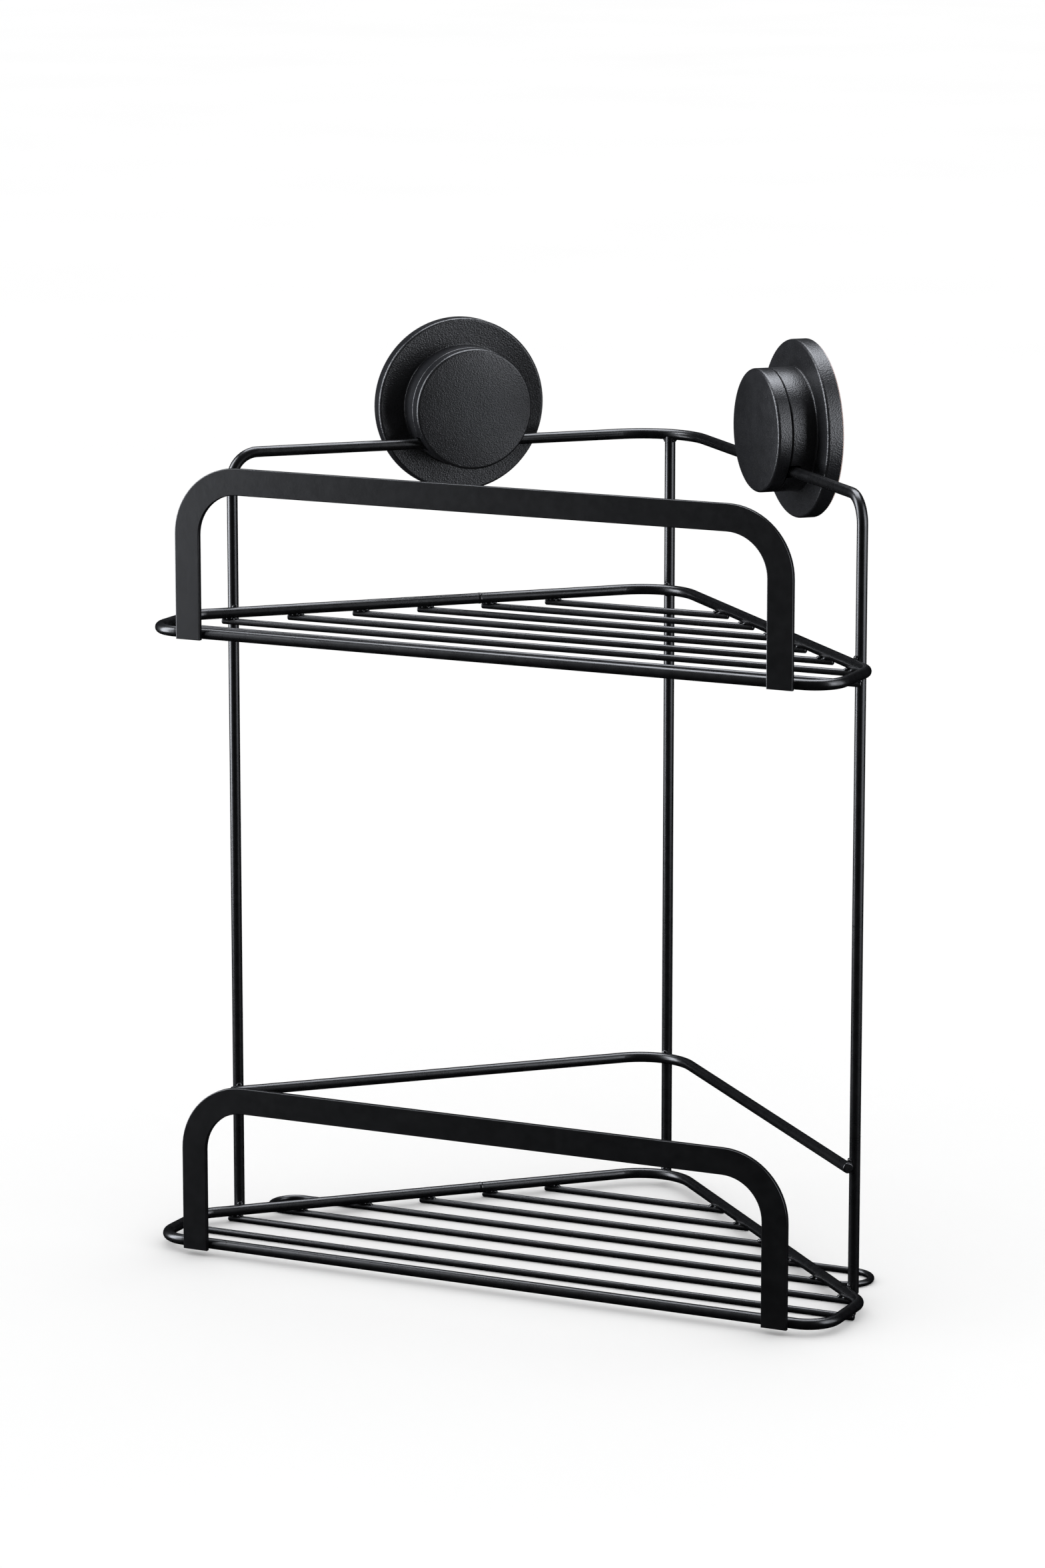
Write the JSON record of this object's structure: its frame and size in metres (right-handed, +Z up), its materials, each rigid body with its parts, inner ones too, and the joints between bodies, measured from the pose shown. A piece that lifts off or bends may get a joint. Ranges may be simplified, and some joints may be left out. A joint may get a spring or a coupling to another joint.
{
  "type": "corner shower caddy",
  "caption": "Two-tier black wire corner shower caddy with front guards, hung from twist-lock suction cups on a top rail.",
  "frame": {"origin": "centre of the footprint, on the plane that the caddy stands on", "axes": "+Z up; +Y from the open front towards the corner of the walls; +X to the right seen from the front"},
  "size_m": [0.341, 0.2121, 0.423],
  "materials": {
    "powder_coated_steel": "satin",
    "housing_plastic": "fine texture",
    "knob_plastic": "satin",
    "soft_pad": "translucent soft plastic",
    "plated_steel": "zinc plated",
    "nut_brass": "machined",
    "washer_plastic": "smooth"
  },
  "bodies": {
    "rack": {"back_frame_wire": "powder_coated_steel", "centre_post": "powder_coated_steel", "mid_rail": "powder_coated_steel", "lower_rim": "powder_coated_steel", "upper_rim": "powder_coated_steel", "lower_front_guard": "powder_coated_steel", "upper_front_guard": "powder_coated_steel", "lower_wall_loop": "powder_coated_steel", "upper_cross_wire_1": "powder_coated_steel", "upper_cross_wire_2": "powder_coated_steel", "upper_cross_wire_3": "powder_coated_steel", "upper_cross_wire_4": "powder_coated_steel", "upper_cross_wire_5": "powder_coated_steel", "upper_cross_wire_6": "powder_coated_steel", "upper_cross_wire_7": "powder_coated_steel", "lower_cross_wire_1": "powder_coated_steel", "lower_cross_wire_2": "powder_coated_steel", "lower_cross_wire_5": "powder_coated_steel", "lower_cross_wire_6": "powder_coated_steel", "lower_cross_wire_7": "powder_coated_steel"},
    "left_cup": {"left_cup_housing": "housing_plastic", "left_suction_pad": "soft_pad", "left_stud": "plated_steel"},
    "left_thrust_washer": {"left_washer": "washer_plastic"},
    "left_twist_knob": {"left_knob": "knob_plastic", "left_nut": "nut_brass"},
    "right_cup": {"right_cup_housing": "housing_plastic", "right_suction_pad": "soft_pad", "right_stud": "plated_steel"},
    "right_thrust_washer": {"right_washer": "washer_plastic"},
    "right_twist_knob": {"right_knob": "knob_plastic", "right_nut": "nut_brass"}
  },
  "joints": [
    {"name": "left_cup_slide", "type": "slide", "parent": "rack", "child": "left_cup", "axis": [-0.7071, -0.7071, 0], "range_m": [-0.045, 0.074]},
    {"name": "left_knob_advance", "type": "slide", "parent": "left_cup", "child": "left_thrust_washer", "axis": [0.7071, -0.7071, 0], "range_m": [0, 0.00225]},
    {"name": "left_knob_turn", "type": "hinge", "parent": "left_thrust_washer", "child": "left_twist_knob", "pos_m": [-0.08761, 0.05271, 0.3823], "axis": [0.7071, -0.7071, 0], "range_deg": [0, 270]},
    {"name": "right_cup_slide", "type": "slide", "parent": "rack", "child": "right_cup", "axis": [0.7071, -0.7071, 0], "range_m": [-0.058, 0.062]},
    {"name": "right_knob_advance", "type": "slide", "parent": "right_cup", "child": "right_thrust_washer", "axis": [-0.7071, -0.7071, 0], "range_m": [0, 0.00225]},
    {"name": "right_knob_turn", "type": "hinge", "parent": "right_thrust_washer", "child": "right_twist_knob", "pos_m": [0.09631, 0.04402, 0.3823], "axis": [-0.7071, -0.7071, 0], "range_deg": [0, 270]}
  ],
  "couplings": [
    {"joint": "left_knob_turn", "follows": "left_knob_advance", "rad_per_m": 2094.4},
    {"joint": "right_knob_turn", "follows": "right_knob_advance", "rad_per_m": 2094.4}
  ]
}
